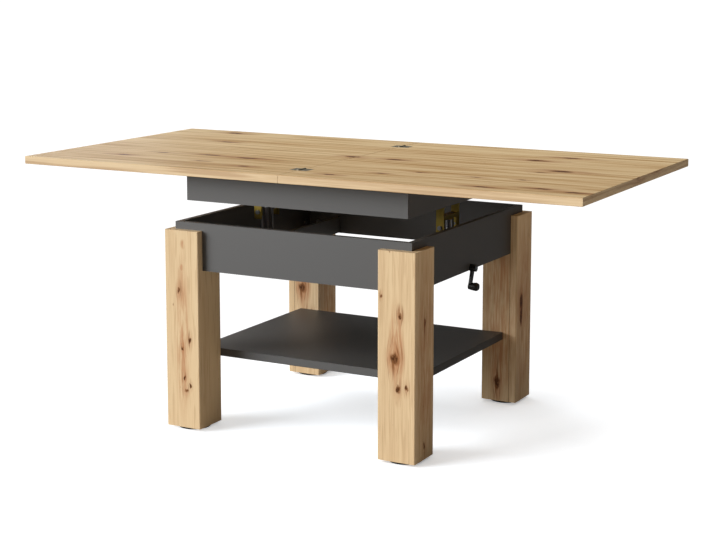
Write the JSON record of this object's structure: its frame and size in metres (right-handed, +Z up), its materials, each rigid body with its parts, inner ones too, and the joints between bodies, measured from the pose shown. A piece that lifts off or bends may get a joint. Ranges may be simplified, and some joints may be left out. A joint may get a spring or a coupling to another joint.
{
  "type": "convertible coffee dining table",
  "caption": "Square lift-top table on thick legs: a hand crank raises it from coffee to dining height, and its doubled top unfolds and slides into a long dining top.",
  "frame": {"origin": "on the floor under the middle of the unfolded top", "axes": "+X along the unfolded top towards the crank, +Y to the back, +Z up"},
  "size_m": [1.701, 0.85, 0.7528],
  "materials": {
    "oak_board": "matt oak laminate",
    "anthracite_board": "matt laminate",
    "raw_wood": "plain",
    "yellow_zinc": "yellow zinc plate",
    "bright_steel": "turned",
    "nickel_steel": "nickel",
    "cast_zinc": "die cast",
    "brass": "turned",
    "black_plastic": "moulded",
    "black_steel": "satin black"
  },
  "bodies": {
    "crank": {"crank_arm": "black_steel", "crank_gear": "bright_steel", "crank_shaft": "bright_steel", "knob_pin": "bright_steel"},
    "base": {"crank_bush": "black_plastic", "cross_rail_left": "anthracite_board", "cross_rail_right": "anthracite_board", "gear_case_left": "cast_zinc", "gear_case_right": "cast_zinc", "gear_cover_left": "cast_zinc", "gear_cover_right": "cast_zinc", "guide_rods": "bright_steel", "leg_back_left": "oak_board", "leg_back_right": "oak_board", "leg_front_left": "oak_board", "leg_front_right": "oak_board", "leg_glides": "black_plastic", "leg_plugs": "raw_wood", "lower_back_panel": "anthracite_board", "lower_front_panel": "anthracite_board", "lower_left_panel": "anthracite_board", "lower_right_panel": "anthracite_board", "shelf": "anthracite_board", "thrust_washers": "bright_steel"},
    "knob": {"crank_knob": "black_plastic"},
    "cross_drive": {"cross_gears": "bright_steel", "cross_shaft": "bright_steel"},
    "upper": {"crosshead_left": "yellow_zinc", "crosshead_right": "yellow_zinc", "guide_bushes": "black_plastic", "lift_nuts": "brass", "slide_channel_back": "yellow_zinc", "slide_channel_front": "yellow_zinc", "upper_back_panel": "anthracite_board", "upper_front_panel": "anthracite_board", "upper_left_panel": "anthracite_board", "upper_right_panel": "anthracite_board", "yoke_bolts": "bright_steel", "yoke_left": "yellow_zinc", "yoke_right": "yellow_zinc"},
    "top_right": {"hinge_pins": "nickel_steel", "hinge_plates_right": "nickel_steel", "leaf_right": "oak_board", "slide_runners": "black_plastic"},
    "top_left": {"hinge_plates_left": "nickel_steel", "leaf_left": "oak_board"},
    "spindle_left": {"spindle_gear_left": "bright_steel", "spindle_left": "bright_steel"},
    "spindle_right": {"spindle_gear_right": "bright_steel", "spindle_right": "bright_steel"}
  },
  "joints": [
    {"name": "lift_slide", "type": "slide", "parent": "base", "child": "upper", "axis": [0, 0, 1], "range_m": [-0.115, 0]},
    {"name": "crank_turn", "type": "hinge", "parent": "base", "child": "crank", "pos_m": [0.38, 0, 0.463], "axis": [1, 0, 0], "range_deg": [-5, 5180]},
    {"name": "cross_turn", "type": "hinge", "parent": "base", "child": "cross_drive", "pos_m": [0, 0, 0.463], "axis": [1, 0, 0], "range_deg": [-5180, 5]},
    {"name": "spindle_right_turn", "type": "hinge", "parent": "base", "child": "spindle_right", "pos_m": [0.296, 0, 0.463], "axis": [0, 0, 1], "range_deg": [-5, 5180]},
    {"name": "spindle_left_turn", "type": "hinge", "parent": "base", "child": "spindle_left", "pos_m": [-0.296, 0, 0.463], "axis": [0, 0, 1], "range_deg": [-5180, 5]},
    {"name": "knob_spin", "type": "hinge", "parent": "crank", "child": "knob", "pos_m": [0.39, -0.01778, 0.41414], "axis": [1, 0, 0], "continuous": true},
    {"name": "top_slide", "type": "slide", "parent": "upper", "child": "top_right", "axis": [1, 0, 0], "range_m": [-0.425, 0]},
    {"name": "leaf_fold", "type": "hinge", "parent": "top_right", "child": "top_left", "pos_m": [0, 0, 0.7503], "axis": [0, 1, 0], "range_deg": [0, 180]}
  ],
  "couplings": [
    {"joint": "crank_turn", "follows": "lift_slide", "rad_per_m": -785.4},
    {"joint": "cross_turn", "follows": "lift_slide", "rad_per_m": 785.4},
    {"joint": "spindle_right_turn", "follows": "lift_slide", "rad_per_m": -785.4},
    {"joint": "spindle_left_turn", "follows": "lift_slide", "rad_per_m": 785.4}
  ]
}
